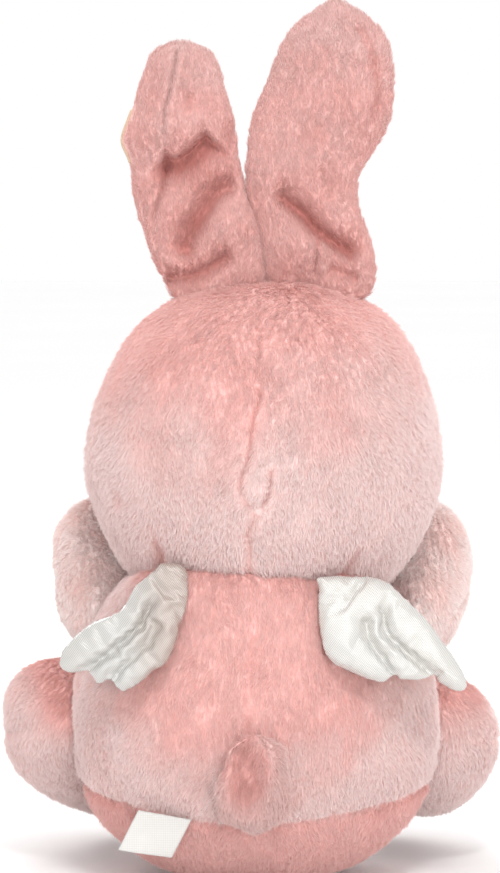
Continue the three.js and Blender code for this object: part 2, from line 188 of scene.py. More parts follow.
class Form:
    """A mesh being shaped: points in design millimetres, and its faces."""

    def __init__(self, points, faces):
        self.points = np.asarray(points, float)
        self.faces = faces
        # Depth in a groove or fold, which paints shade into the pile colour there
        self.painted_crease_shade = np.zeros(len(self.points))  # how deep in a fold each point lies, 0 to 1

    def flat(self):
        return self.points[:, [0, 2]]

    def triangles(self):
        return np.array([(face[0], b, c) for face in self.faces
                         for b, c in zip(face[1:], face[2:])])

    def normals(self):
        tri = self.triangles()
        a, b, c = (self.points[tri[:, i]] for i in range(3))
        across = np.cross(b - a, c - a)
        total = np.zeros_like(self.points)
        for i in range(3):
            for axis in range(3):
                total[:, axis] += np.bincount(tri[:, i], across[:, axis], len(self.points))
        return unit(total)

    def facing(self, way):
        """How far the surface faces the back, way 1, or the front, way -1."""
        return smoothstep(-0.1, 0.5, self.normals()[:, 1] * way)

    def swell(self, amount):
        """Moves each point along its normal."""
        self.points = self.points + self.normals() * np.asarray(amount, float).reshape(-1, 1)
        return self

    def groove(self, path, width, depth, fade=0.0):
        """Presses a seam line in. fade is the share at each end where it dies away."""
        gap, where = to_path(self.points, path)
        amount = depth * np.exp(-((gap / width) ** 2))
        if fade:
            amount = amount * smoothstep(0, fade, where) * smoothstep(0, fade, 1 - where)
        self.painted_crease_shade = np.clip(np.maximum(self.painted_crease_shade, amount / FOLD_DEPTH), 0, 1)
        return self.swell(-amount)

    def press(self, path, depth, left, right, fade=0.15, way=1):
        """A fold pressed into the back or front, with its own width on each side of the path.

        path is x and height; left is the side to the left of its direction, seen from the front.
        """
        gap, turn, where = beside(self.flat(), smooth_flat(path, 0.8))
        amount = depth * np.exp(-((gap / np.where(turn > 0, left, right)) ** 2))
        amount *= smoothstep(0, fade, where) * smoothstep(0, fade, 1 - where)
        amount *= self.facing(way)
        self.points[:, 1] -= amount * way
        if way > 0:
            self.painted_crease_shade = np.clip(self.painted_crease_shade + amount / BEND_DEPTH, 0, 1)
        return self

    def bulge(self, x, z, width, tall, height):
        """A swelling on the back, width across and tall."""
        share = ((self.points[:, 0] - x) / width) ** 2 + ((self.points[:, 2] - z) / tall) ** 2
        self.points[:, 1] += height * np.exp(-share) * self.facing(1)
        return self

    def mound(self, centre, width, height):
        gap = np.linalg.norm((self.points - np.asarray(centre, float)) / width, axis=1)
        return self.swell(height * np.exp(-(gap**2)))

    def puff(self, x, z, width, height):
        """Swells everything near x and z, as seen from behind."""
        gap = np.linalg.norm((self.flat() - [x, z]) / width, axis=1)
        return self.swell(height * np.exp(-(gap**2)))

    def lumps(self, size, height, seed):
        return self.swell(waves(self.points, size, seed) * height)

    def stand_on(self, floor):
        """Flattens whatever reaches under the floor."""
        self.points[:, 2] = np.maximum(self.points[:, 2], floor + FLOOR_GAP)

    def tree(self):
        return BVHTree.FromPolygons(self.points.tolist(), self.triangles().tolist())

    def settled(self, *paths):
        """The paths with their points moved to the nearest spots of the form."""
        tree = self.tree()
        return [[list(tree.find_nearest(Vector(spot))[0]) for spot in path] for path in paths]


# Meshes to forms and back


def form_of(mesh):
    points = np.zeros(len(mesh.vertices) * 3)
    mesh.vertices.foreach_get("co", points)
    faces = [tuple(p.vertices) for p in mesh.polygons]
    return Form((points.reshape(-1, 3) - ORIGIN) / MM, faces)


def mesh_of(name, form):
    mesh = bpy.data.meshes.new(name)
    mesh.from_pydata(place(form.points).tolist(), [], [list(f) for f in form.faces])
    mesh.polygons.foreach_set("use_smooth", [True] * len(mesh.polygons))
    mesh.update()
    return mesh


def configure(target, settings):
    for key, value in settings.items():
        setattr(target, key, value)


def object_of(name, mesh):
    made = bpy.data.objects.new(name, mesh)
    bpy.context.scene.collection.objects.link(made)
    return made


def applied(name, mesh, *modifiers):
    """The mesh after a list of modifiers, each a type and its settings."""
    holder = object_of(name + "_work", mesh)
    for kind, settings in modifiers:
        configure(holder.modifiers.new(kind, kind), settings)
    graph = bpy.context.evaluated_depsgraph_get()
    made = bpy.data.meshes.new_from_object(holder.evaluated_get(graph))
    bpy.data.objects.remove(holder)
    return made


def refined(name, mesh, levels):
    return form_of(applied(name, mesh, ("SUBSURF", {"levels": levels, "render_levels": levels})))


def main_island(mesh):
    """Keeps the largest connected part of a mesh."""
    bm = bmesh.new()
    bm.from_mesh(mesh)
    left, islands = set(bm.verts), []
    while left:
        island = {left.pop()}
        edge = list(island)
        while edge:
            near = {v for link in edge.pop().link_edges for v in link.verts} & left
            left -= near
            island |= near
            edge.extend(near)
        islands.append(island)
    islands.sort(key=len, reverse=True)
    for island in islands[1:]:
        bmesh.ops.delete(bm, geom=list(island), context="VERTS")
    bm.to_mesh(mesh)
    bm.free()
    return mesh


CLOTH = {"quality": 6, "mass": 0.3, "tension_stiffness": 20, "compression_stiffness": 20,
         "shear_stiffness": 8, "bending_stiffness": 0.6, "tension_damping": 12,
         "air_damping": 3, "use_pressure": True}
PIN_REACH = 2.5  # millimetres from a seam over which its hold dies away
LEAST_PIN = 0.02


def inflated(mesh, name, pins, pressure, cap, looseness=0.02):
    """Cloth blown up by the filling: points near the pins stay, the panels between them swell.

    pins is the distance of each point from its nearest seam, in millimetres.
    """
    rest = np.zeros(len(mesh.vertices) * 3)
    mesh.vertices.foreach_get("co", rest)
    big = mesh.copy()
    big.vertices.foreach_set("co", rest * SIM_SCALE)
    holder = object_of(name + "_cloth", big)
    group = holder.vertex_groups.new(name="seams")
    for i, gap in enumerate(pins):
        weight = math.exp(-((gap / PIN_REACH) ** 2))
        if weight > LEAST_PIN:
            group.add([i], weight, "REPLACE")
    cloth = holder.modifiers.new("cloth", "CLOTH")
    configure(cloth.settings, CLOTH)
    cloth.settings.uniform_pressure_force = pressure
    cloth.settings.shrink_min = -looseness
    cloth.settings.vertex_group_mass = group.name
    cloth.settings.effector_weights.gravity = 0
    cloth.collision_settings.use_collision = False
    configure(cloth.point_cache, {"frame_start": 1, "frame_end": CLOTH_FRAMES})
    scene = bpy.context.scene
    for step in range(1, CLOTH_FRAMES + 1):
        scene.frame_set(step)
    graph = bpy.context.evaluated_depsgraph_get()
    blown = holder.evaluated_get(graph).to_mesh()
    moved = np.zeros(len(rest))
    blown.vertices.foreach_get("co", moved)
    bpy.data.objects.remove(holder)
    scene.frame_set(1)
    shift = (moved / SIM_SCALE - rest).reshape(-1, 3)
    far = np.linalg.norm(shift, axis=1, keepdims=True)
    limit = cap * MM
    shift *= np.where(far > 1e-9, limit * np.tanh(far / limit) / np.maximum(far, 1e-9), 1)
    mesh.vertices.foreach_set("co", rest + shift.ravel())
    return mesh


def soft_copy(name, nodes, seams=(), hull=False, voxel=6.0, ease=3, levels=3, cap=1.5,
              pressure=5.0, inset=0.0):
    """One smooth skin round some CAD nodes: joined, remeshed, blown up and refined."""
    bm = bmesh.new()
    for node in nodes:
        bm.from_mesh(frame["nodes"][node].data)
    if hull:
        made = bmesh.ops.convex_hull(bm, input=bm.verts)
        spare = set(made["geom_interior"]) | set(made["geom_unused"])
        keep = {e for e in made["geom"] if isinstance(e, bmesh.types.BMFace)}
        bmesh.ops.delete(bm, geom=[f for f in bm.faces if f not in keep], context="FACES_ONLY")
        spare = [v for v in bm.verts if not v.link_faces or v in spare]
        bmesh.ops.delete(bm, geom=spare, context="VERTS")
    mesh = bpy.data.meshes.new(name)
    bm.to_mesh(mesh)
    bm.free()
    mesh = applied(name, mesh, ("REMESH", {"mode": "VOXEL", "voxel_size": voxel / 2 * MM}))
    mesh = applied(name, main_island(mesh), ("SMOOTH", {"factor": 0.5, "iterations": ease * 4}),
                   ("REMESH", {"mode": "VOXEL", "voxel_size": voxel * MM}),
                   ("SMOOTH", {"factor": 0.5, "iterations": ease}))
    form = form_of(mesh)
    if inset:
        form.swell(-inset)
        mesh.vertices.foreach_set("co", place(form.points).ravel())
    if len(seams):
        gaps = np.min([to_path(form.points, line)[0] for line in seams], axis=0)
        mesh = inflated(mesh, name, gaps, pressure, cap)
    return refined(name, mesh, levels)


def loft(stations, rows, around, tip=0.12, base=0.05):
    """A flat closed tube through stations of height, two edges, middle depth and thickness."""
    stations = np.asarray(stations, float)
    share = (1 - np.cos(np.linspace(0, math.pi, rows + 1))) / 2
    smooth = smooth_path(stations, 0.5)
    along = np.concatenate([[0], np.cumsum(np.abs(np.diff(smooth[:, 0])) + 1e-9)])
    along /= along[-1]
    height, low, high, depth, thick = (np.interp(share, along, c) for c in smooth.T)
    cap = np.sqrt(np.clip(1 - np.clip((share - (1 - tip)) / tip, 0, 1) ** 2, 0, 1))
    cap *= np.sqrt(np.clip(1 - np.clip((base - share) / base, 0, 1) ** 2, 0, 1))
    turn = np.linspace(0, 2 * math.pi, around, endpoint=False)
    middle, half = (low + high) / 2, (high - low) / 2 * cap
    points = [[middle[0], depth[0], height[0]]]
    for i in range(1, rows):
        x = middle[i] + half[i] * np.cos(turn)
        y = depth[i] + thick[i] / 2 * cap[i] ** 0.6 * np.sin(turn)
        points.extend(np.stack([x, y, np.full(around, height[i])], 1))
    points.append([middle[-1], depth[-1], height[-1]])
    return Form(points, ring_faces(rows, around))


def ring_faces(rows, around):
    """Faces of a closed tube: a first point, rows - 1 rings, and a last point."""
    last = 1 + (rows - 1) * around
    ring = lambda r, k: 1 + (r - 1) * around + k % around
    faces = [(0, ring(1, k + 1), ring(1, k)) for k in range(around)]
    for r in range(1, rows - 1):
        faces += [(ring(r, k), ring(r, k + 1), ring(r + 1, k + 1), ring(r + 1, k))
                  for k in range(around)]
    faces += [(ring(rows - 1, k), ring(rows - 1, k + 1), last) for k in range(around)]
    return faces


# Materials


class Look:
    """A node material being put together."""

    def __init__(self, name, **sockets):
        self.material = bpy.data.materials.new(name)
        self.material.use_nodes = True
        self.nodes = self.material.node_tree.nodes
        self.links = self.material.node_tree.links
        self.shader = self.nodes["Principled BSDF"]
        for key, value in sockets.items():
            self.shader.inputs[key.replace("_", " ")].default_value = value

    def add(self, kind, inputs=(), **settings):
        node = self.nodes.new(kind)
        configure(node, settings)
        for key, value in dict(inputs).items():
            if isinstance(value, bpy.types.NodeSocket):
                self.links.new(value, node.inputs[key])
            else:
                node.inputs[key].default_value = value
        return node

    def maths(self, operation, a, b, **settings):
        return self.add("ShaderNodeMath", {0: a, 1: b}, operation=operation, **settings).outputs[0]

    def where(self, turned=(0, 0, 0), stretch=(1, 1, 1)):
        """Object coordinates, turned and stretched."""
        coords = self.add("ShaderNodeTexCoord").outputs["Object"]
        return self.add("ShaderNodeMapping", {"Vector": coords, "Rotation": turned,
                                              "Scale": stretch}).outputs[0]

    def spots(self, scale, detail=2.0, stretch=(1, 1, 1)):
        """Noise, about 0 to 1."""
        return self.add("ShaderNodeTexNoise", {"Vector": self.where(stretch=stretch),
                                               "Scale": scale, "Detail": detail}).outputs["Fac"]

    def ribs(self, where, axis, scale, distortion, inputs=()):
        """Parallel ribs across an axis, 0 to 1."""
        inputs = {"Vector": where, "Scale": scale, "Distortion": distortion, **dict(inputs)}
        return self.add("ShaderNodeTexWave", inputs, bands_direction=axis).outputs["Fac"]

    def ramp(self, value, *stops):
        node = self.add("ShaderNodeValToRGB", {"Fac": value})
        elements = node.color_ramp.elements
        while len(elements) < len(stops):
            elements.new(0.5)
        for element, (position, colour) in zip(elements, stops):
            element.position = position
            element.color = (*colour, 1)
        return node.outputs["Color"]

    def mix(self, factor, a, b, blend="MIX"):
        node = self.add("ShaderNodeMix", {0: factor}, data_type="RGBA", blend_type=blend)
        for socket, value in ((6, a), (7, b)):
            if isinstance(value, bpy.types.NodeSocket):
                self.links.new(value, node.inputs[socket])
            else:
                node.inputs[socket].default_value = (*value, 1)
        return node.outputs[2]

    def times(self, a, b):
        return self.mix(1.0, a, b, "MULTIPLY")

    def paint(self, colour):
        self.links.new(colour, self.shader.inputs["Base Color"])
        return self

    def bump(self, height, distance, strength=1.0):
        node = self.add("ShaderNodeBump", {"Height": height, "Distance": distance,
                                           "Strength": strength})
        self.links.new(node.outputs[0], self.shader.inputs["Normal"])
        return self


def plush_colour(look, pink, frosty):
    """Pile colour: smooth where it lies flat, frosted where its tips face out, which is partly a
    painted sheen, and painted shade deep in folds.
    """
    frost = look.add("ShaderNodeAttribute", attribute_name="frost").outputs["Fac"]
    fold = look.maths("MULTIPLY", frost, -1.0, use_clamp=True)
    frost = look.add("ShaderNodeClamp", {"Value": frost}).outputs[0]
    smooth = look.ramp(look.spots(30, 3.0), (0.35, pink["deep"]), (0.68, pink["pale"]))
    frosted = look.ramp(look.spots(45, 3.0), (0.35, frosty["deep"]), (0.68, frosty["pale"]))
    tips = look.mix(frost, pink["tip"], frosty["tip"])
    return (look.mix(fold, look.mix(frost, smooth, frosted), pink["fold"]),
            look.mix(fold, tips, pink["fold"]))


def fibre_material(name, pink, frosty):
    look = Look(name, Roughness=0.55, Sheen_Weight=0.25, Sheen_Roughness=0.4,
                Sheen_Tint=(1, 0.88, 0.86, 1), Specular_IOR_Level=0.35)
    colour, tips = plush_colour(look, pink, frosty)
    hair = look.add("ShaderNodeHairInfo").outputs
    fade = look.maths("POWER", hair["Intercept"], 1.5)
    shade = look.ramp(hair["Random"], (0.0, (0.88, 0.86, 0.86)), (0.5, (1, 1, 1)))
    return look.paint(look.times(look.mix(fade, colour, tips), shade)).material


def skin_material(name, pink, frosty):
    look = Look(name, Roughness=0.85, Sheen_Weight=0.4, Sheen_Roughness=0.5,
                Sheen_Tint=(1, 0.86, 0.84, 1), Specular_IOR_Level=0.2)
    colour, tips = plush_colour(look, pink, frosty)
    strands = look.spots(1100, 4.0, (1.0, 1.0, 0.3))
    tufts = look.spots(330, 3.0, (1.0, 1.0, 0.55))
    light = look.ramp(strands, (0.38, (0, 0, 0)), (0.72, (0.8, 0.8, 0.8)))
    relief = look.maths("ADD", strands, tufts)
    return look.paint(look.mix(light, colour, tips)).bump(relief, 0.0007, 0.8).material


def satin_material():
    """Ribbed satin, with painted pinkish shade by the left wing's root and painted grey shade over
    the rest of that wing.
    """
    look = Look("satin_weave", Roughness=0.26, Metallic=0.15, Specular_IOR_Level=1.0,
                Anisotropic=0.5, Coat_Weight=0.3, Coat_Roughness=0.26)
    tilted = look.where((0, 0.62, 0))
    ribs = look.ribs(tilted, "X", 571.0, 1.2, {"Detail": 1.0, "Detail Scale": 0.6})
    crossed = look.ribs(tilted, "Z", 390.0, 0.8)
    tone = look.ramp(ribs, (0.0, (0.44, 0.43, 0.41)), (0.7, (0.68, 0.67, 0.645)))
    stain = look.ramp(look.spots(45), (0.4, (1.0, 0.985, 0.97)), (0.7, (1, 1, 1)))
    across = look.add("ShaderNodeSeparateXYZ", {"Vector": look.where()}).outputs["X"]
    # Painted shade across the wings: none on the right wing, pinkish near the left wing's root,
    # grey further out on the left wing
    painted_side_shade = look.ramp(look.maths("MULTIPLY", across, 20.0),
                      (0.0, (1, 1, 1)), (0.1, (0.72, 0.62, 0.58)), (0.56, (0.72, 0.62, 0.58)),
                      (0.82, (0.88, 0.88, 0.88)))
    look.paint(look.times(look.times(tone, painted_side_shade), stain))
    return look.bump(look.maths("ADD", ribs, crossed), 0.00010, 0.6).material


def cloth_material(name, colour, darker, pitch, roughness, bump_depth):
    """A plain weave of threads about pitch millimetres apart."""
    look = Look(name, Roughness=roughness, Sheen_Weight=0.25)
    scale = 2 * math.pi / (20 * pitch * MM)
    threads = [look.ribs(look.where(), axis, scale, 0.6) for axis in "XZ"]
    height = look.maths("MULTIPLY", *threads)
    shade = look.ramp(look.spots(60, 3.0), (0.35, (0.93, 0.92, 0.91)), (0.7, (1, 1, 1)))
    look.paint(look.times(look.mix(height, darker, colour), shade))
    return look.bump(height, bump_depth * MM, 0.7).material


def fibrefill_material():
    look = Look("polyester_fibre", Roughness=0.95, Sheen_Weight=0.3)
    tangle = look.spots(420, 6.0, (1.0, 0.4, 1.0))
    look.paint(look.ramp(tangle, (0.3, (0.78, 0.77, 0.74)), (0.7, (0.95, 0.95, 0.93))))
    return look.bump(tangle, 0.0012, 0.9).material


def plastic_material(name, colour, roughness, coat):
    look = Look(name, Roughness=roughness, Coat_Weight=coat, Coat_Roughness=0.04)
    lighter = tuple(c * 1.5 + 0.004 for c in colour)
    look.paint(look.ramp(look.spots(160), (0.3, colour), (0.8, lighter)))
    return look.bump(look.spots(700), 0.00002, 0.3).material


def thread_material(name, colour):
    look = Look(name, Roughness=0.5, Sheen_Weight=0.4)
    strands = look.ribs(look.where((0, 0.5, 0)), "X", 420.0, 0.5)
    look.paint(look.mix(strands, tuple(c * 0.6 for c in colour), colour))
    return look.bump(strands, 0.0002, 0.8).material


PINK = {"deep": (0.79, 0.42, 0.385), "pale": (0.85, 0.485, 0.45), "tip": (0.90, 0.615, 0.58),
        # fold is painted shade, mixed in where a frost value drops below 0: folds, seams, hollows
        # and sheltered spots
        "fold": (0.62, 0.25, 0.22)}
# The paler frosted colours, where the pile stands up with its tips out, are partly a painted sheen
FROST = {"deep": (0.79, 0.545, 0.52), "pale": (0.86, 0.635, 0.61), "tip": (0.93, 0.82, 0.80)}


def plush(name, tint=(1, 1, 1)):
    """The skin and the fibre of one plush cloth, in the pink and the frosted colours tinted."""
    colours = [{key: tuple(c * t for c, t in zip(colour, tint)) for key, colour in palette.items()}
               for palette in (PINK, FROST)]
    return skin_material(f"{name}_pile", *colours), fibre_material(f"{name}_fibre", *colours)


main_plush = plush("plush")
# The same plush painted darker all over, as painted shade, for the ears and the tail
painted_shade_plush = plush("painted_shade_plush", (0.85, 0.80, 0.794))
# The same plush painted lighter, as painted light, for the arms
painted_light_plush = plush("painted_light_plush", (1.075, 1.17, 1.17))
satin = satin_material()
lining = cloth_material("ear_lining_cloth", (0.72, 0.52, 0.38), (0.60, 0.41, 0.29), 0.5, 0.7, 0.15)
ribbon = cloth_material("ribbon_weave", (0.77, 0.76, 0.735), (0.62, 0.61, 0.585), 0.6, 0.5, 0.1)
pouch_cloth = cloth_material("pouch_weave", (0.70, 0.67, 0.61), (0.5, 0.48, 0.43), 0.8, 0.9, 0.2)
fibrefill = fibrefill_material()
eye_plastic = plastic_material("eye_plastic", (0.012, 0.007, 0.005), 0.08, 0.8)
washer_plastic = plastic_material("washer_plastic", (0.72, 0.71, 0.67), 0.5, 0.0)
nose_thread = thread_material("nose_thread", (0.42, 0.11, 0.13))


# Pieces


def piece(name, form, material, body, replaced=(), frost=None):
    made = object_of(name, mesh_of(name, form))
    made.data.materials.append(material)
    if frost is not None:
        values = made.data.attributes.new("frost", "FLOAT", "POINT").data
        values.foreach_set("value", frost.astype(np.float32))
    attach(made, body)
    if replaced:
        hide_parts(*replaced)
    return made


def comb(points, normals, towards, swirl, seed):
    """The direction along the surface that the pile is brushed in, with slow swirls."""
    along = np.broadcast_to(towards, points.shape)
    along = unit(along - normals * (along * normals).sum(1, keepdims=True) + 1e-6)
    across = np.cross(normals, along)
    angle = (waves(points, 30, seed) * 0.65 + waves(points, 9, seed + 1) * 0.35) * swirl
    return along * np.cos(angle)[:, None] + across * np.sin(angle)[:, None]


def drift(points, size, seed):
    """A smooth random vector at each point."""
    return np.stack([waves(points, size, seed + k) for k in range(3)], 1)


STRAND_STEPS = np.array([0.0, 0.35, 0.7, 1.0])
STRAND_TAPER = np.array([1.0, 1.0, 0.8, 0.35])
STRAND_THICK = 0.055
ROOT_DEPTH = 0.2  # how far under the skin a strand starts
LEAN, FROSTED_LEAN = 1.22, 0.36  # radians from upright, and how much less where it is frosted
PARTING_REACH, PARTING_CUT = 1.1, 0.8  # distance from a seam, and how much shorter beside it


def pile(name, form, fibre, body, frost, length=2.5, towards=DOWN, seed=1, swirl=0.6, keep=None,
         partings=(), calm=1.0):
    """Short plush pile: fibres rooted all over a form, leaning where they are brushed.

    frost gives how far the tips stand out at each point, from 0 to 1, or how much painted shade
    it gets deep in a fold, from 0 to -1. Beside a parting, which is a seam, the fibres are short.
    A low calm lays them evenly.
    """
    rng = np.random.default_rng(seed)
    tri = form.triangles()
    corners = [form.points[tri[:, i]] for i in range(3)]
    area = np.linalg.norm(np.cross(corners[1] - corners[0], corners[2] - corners[0]), axis=1) / 2
    count = int(area.sum() * PILE_DENSITY)
    chosen = rng.choice(len(tri), count, p=area / area.sum())
    u, v = rng.random((2, count, 1))
    u, v = np.where(u + v > 1, 1 - u, u), np.where(u + v > 1, 1 - v, v)
    blend = lambda parts: parts[0] + u * (parts[1] - parts[0]) + v * (parts[2] - parts[0])
    roots = blend([c[chosen] for c in corners])
    normals = form.normals()
    out = unit(blend([normals[tri[chosen, i]] for i in range(3)]))
    tone = blend([frost[tri[chosen, i], None] for i in range(3)])[:, 0]
    if keep is not None:
        stays = keep(roots, out)
        roots, out, tone = roots[stays], out[stays], tone[stays]
    count = len(roots)
    white = np.clip(tone, 0, 1)
    along = comb(roots, out, towards, swirl, seed)
    tufts, clumps = drift(roots, 1.9, seed + 5), drift(roots, 6, seed + 12)
    stray = rng.normal(size=(count, 3))
    tilt = LEAN - FROSTED_LEAN * white
    tilt += calm * (0.10 * waves(roots, 14, seed + 9) + 0.1 * rng.normal(size=count))
    reach = length * (1 + 0.08 * calm * waves(roots, 6, seed + 3) + 0.10 * rng.normal(size=count))
    for line in partings:
        gap, _ = to_path(roots, line, 2.0)
        reach *= 1 - PARTING_CUT * np.exp(-((gap / PARTING_REACH) ** 2))
    rise, run = np.cos(tilt)[:, None], np.sin(tilt)[:, None]
    sway = tufts * (0.03 + 0.10 * white[:, None]) + clumps * 0.03
    sway = sway * calm + stray * 0.045
    strands = np.zeros((count, len(STRAND_STEPS), 3))
    for k, s in enumerate(STRAND_STEPS):
        bent = out * rise * s * (1.3 - 0.3 * s) + along * run * s * (0.7 + 0.3 * s)
        strands[:, k] = roots - out * ROOT_DEPTH + (bent + sway * s**1.5) * reach[:, None]
    curves = bpy.data.hair_curves.new(name)
    curves.add_curves([len(STRAND_STEPS)] * count)
    flat = place(strands.reshape(-1, 3)).astype(np.float32)
    curves.attributes["position"].data.foreach_set("vector", flat.ravel())
    radius = curves.attributes.get("radius") or curves.attributes.new("radius", "FLOAT", "POINT")
    taper = np.tile(STRAND_TAPER * STRAND_THICK * MM, count) * 1
    radius.data.foreach_set("value", taper.astype(np.float32))
    values = curves.attributes.new("frost", "FLOAT", "CURVE").data
    values.foreach_set("value", tone.astype(np.float32))
    curves.materials.append(fibre)
    made = object_of(name, curves)
    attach(made, body)


def plush_part(name, form, cloth, body, nodes, frost, fill=None, **brushed):
    """A plush skin and the pile that grows on it."""
    skin, fibre = cloth
    piece(f"{name}_skin", form, skin, body, nodes, frost=frost)
    pile(f"{name}_pile", form, fibre, body, frost, **brushed)


# The head


HEAD_RADIUS = 61.5
SKIN_DEPTH = 1.6  # how far the cloth lies under the outside of the pile


def on_head(turn, rise, out=0.0):
    """A point on the head: turn from the face towards the toy's left, rise from level."""
    a, b = math.radians(turn), math.radians(rise)
    way = np.array([math.sin(a) * math.cos(b), -math.cos(a) * math.cos(b), math.sin(b)])
    return HEAD_PIVOT + way * (HEAD_RADIUS + out)


def back_of_head(x, z):
    """The point of the head's back surface at x and z."""
    dx, dz = x - HEAD_PIVOT[0], z - HEAD_PIVOT[2]
    return [x, HEAD_PIVOT[1] + math.sqrt(max(HEAD_RADIUS**2 - dx**2 - dz**2, 0)), z]


def head_frost(points):
    x, z = points[:, 0] - HEAD_PIVOT[0], points[:, 2]
    level = z - 0.4 * np.maximum(np.abs(x) - 18, 0)
    level = level + 0.18 * x + 9 * waves(points, 26, 301) + 3 * waves(points * [1, 1, 0.5], 8, 302)
    return 0.08 + 0.9 * smoothstep(182, 134, level)


HEAD_PATHS = {  # x and height on the back of the head
    "crown": [(-1.5, 204), (-1.5, 188), (-0.3, 173.5)],
    "seam": [(-0.3, 173.5), (-1.5, 169), (0.8, 162), (1.7, 154.5), (2.5, 147.5), (4.4, 142),
             (4.9, 137.5), (2.5, 133), (-1.1, 130)],
    "nape": [(-1.1, 130), (0.6, 127), (2.8, 122), (2.5, 115), (2.5, 104)],
    "pucker": [(-1.1, 130), (-4, 134.5), (-4.8, 139.5), (-5.5, 146)],
}
HEAD_GROOVES = {"crown": (1.2, 0.5, 0.3), "seam": (1.0, 1.3, 0.06), "nape": (1.3, 1.0, 0.1),
                "pucker": (1.0, 1.6, 0.2)}  # width, depth, fade
NECK_CREASES = [  # path of x and height, width, depth
    ([(-37, 118), (-31, 108), (-28, 101)], 2.6, 1.8),
    ([(36, 124), (33, 115), (31, 104)], 2.6, 1.8),
    ([(48, 136), (45, 128)], 3.0, 1.0)]
EYE = (24, 4)  # turn and rise on the head
EYE_CLEARING = 6.4  # no pile grows this near to the middle of an eye


def over_head(path):
    return [back_of_head(x, z) for x, z in path]


def make_head():
    nodes = ["head_back_left", "head_back_right", "head_front_left", "head_front_right"]
    paths = {name: over_head(path) for name, path in HEAD_PATHS.items()}
    edges = [[on_head(side * 82, rise) for rise in (60, 35, 10, -15, -40)]
             for side in SIDES.values()]
    nose_line = [on_head(0, rise) for rise in (80, 55, 30, 8)]
    seams = [paths["crown"], paths["seam"], paths["nape"], nose_line, *edges]
    form = soft_copy("head_skin", nodes, seams, hull=True, inset=SKIN_DEPTH)
    form.lumps(46, 0.7, 11)
    form.lumps(15, 0.25, 12)
    paths = dict(zip(paths, form.settled(*paths.values())))
    for name, (width, depth, fade) in HEAD_GROOVES.items():
        form.groove(paths[name], width, depth, fade=fade)
    form.mound(back_of_head(0, 137), 3.4, 1.4)
    form.mound(back_of_head(-46, 165), 22, 1.6)
    form.puff(-44, 190, 16, 2.4)
    form.puff(58, 138, 10, 1.0)
    for path, width, depth in NECK_CREASES:
        form.groove(over_head(path), width, depth, fade=0.35)
    for side, edge in zip(SIDES.values(), edges):
        form.groove(edge, 1.6, 0.6)
        form.mound(on_head(side * EYE[0], EYE[1]), 9, -1.6)
        form.mound(on_head(side * 44, -20), 17, 1.6)
    form.groove(nose_line, 1.5, 0.5)
    form.swell(pile_relief(form.points, 13))
    eyes = [on_head(side * EYE[0], EYE[1]) for side in SIDES.values()]

    def clear_of_eyes(roots, out):
        gaps = [np.linalg.norm(roots - eye, axis=1) for eye in eyes]
        return np.minimum(*gaps) > EYE_CLEARING

    plush_part("head", form, main_plush, "head", [*nodes, "head_stuffing"],
               head_frost(form.points) - 0.9 * form.painted_crease_shade, fill=0.9, seed=21,
               keep=clear_of_eyes, partings=[paths[name] for name in ("seam", "nape", "pucker")])


def pile_relief(points, seed):
    """The combed surface of the pile, as height in millimetres."""
    return 0.16 * waves(points * [1, 1, 0.35], 1.9, seed) + 0.10 * waves(points, 3.4, seed + 1)


def make_muzzle():
    form = soft_copy("muzzle_skin", ["muzzle_pad"], voxel=2.4)
    nose = on_head(0, -8.5, 7)

    def clear_of_nose(roots, out):
        return np.linalg.norm((roots - nose) / [6.5, 8, 5], axis=1) > 1

    plush_part("muzzle", form, main_plush, "head", ["muzzle_pad"],
               np.full(len(form.points), 0.8), length=2.0, seed=31, keep=clear_of_nose)


def turned_dome(profile, around=48):
    """A turned shape from radius and height pairs, made along +Z from the origin."""
    turn = np.linspace(0, 2 * math.pi, around, endpoint=False)
    points = [[0, 0, profile[0][1]]]
    for radius, height in profile[1:-1]:
        points.extend([radius * math.cos(t), radius * math.sin(t), height] for t in turn)
    points.append([0, 0, profile[-1][1]])
    return Form(points, ring_faces(len(profile) - 1, around))


def stand(form, point, direction):
    turn = Vector((0, 0, 1)).rotation_difference(Vector(direction))
    matrix = np.array(turn.to_matrix())
    form.points = form.points @ matrix.T + np.asarray(point)
    return form


def make_face():
    arc = [(6.0 * math.cos(a), 1.2 + 3.6 * math.sin(a))
           for a in np.linspace(0, math.pi / 2, 14)[:-1]]
    profile = [(0, -9), (2, -9), (2, -0.5), (5.2, -0.4), (5.8, 0.3), *arc, (0, 4.8)]
    for name, side in SIDES.items():
        point = on_head(side * EYE[0], EYE[1], -1.0)
        form = stand(turned_dome(profile), point, unit(point - HEAD_PIVOT))
        piece(f"eye_{name}_dome", form, eye_plastic, "head", [f"eye_{name}"])
    form = soft_copy("nose_stitches", ["nose"], voxel=0.8, levels=2)
    form.swell(np.sin(form.points[:, 0] * 2 * math.pi / 0.8) * 0.14 + 0.3)
    piece("nose_stitches", form, nose_thread, "head", ["nose"])
    form = soft_copy("mouth_thread", ["mouth_stitch"], voxel=0.5, ease=1, levels=1)
    piece("mouth_thread", form, nose_thread, "head", ["mouth_stitch"])


# The body


def body_frost(points):
    x, z = points[:, 0], points[:, 2]
    level = z - 1.1 * np.maximum(np.abs(x) - 26, 0)
    level = level + 8 * waves(points, 22, 401) + 3 * waves(points * [1, 1, 0.5], 7, 402)
    frost = 0.05 + 0.9 * smoothstep(62, 30, level)
    frost = np.maximum(frost, 0.9 * smoothstep(34, 44, np.abs(x)) * smoothstep(68, 82, z))
    # Below the seam round the foot the base gets no frost and a little painted shade from the fold
    # colour
    wall = smoothstep(-1.5, 1, z - ring_height(np.arctan2(x, -points[:, 1])))
    return frost * wall - 0.08 * (1 - wall)


def ring_height(turn):
    """Height of the seam round the foot of the body, at angles from its front."""
    return 25 + 8 * np.abs(np.sin(turn)) ** 3


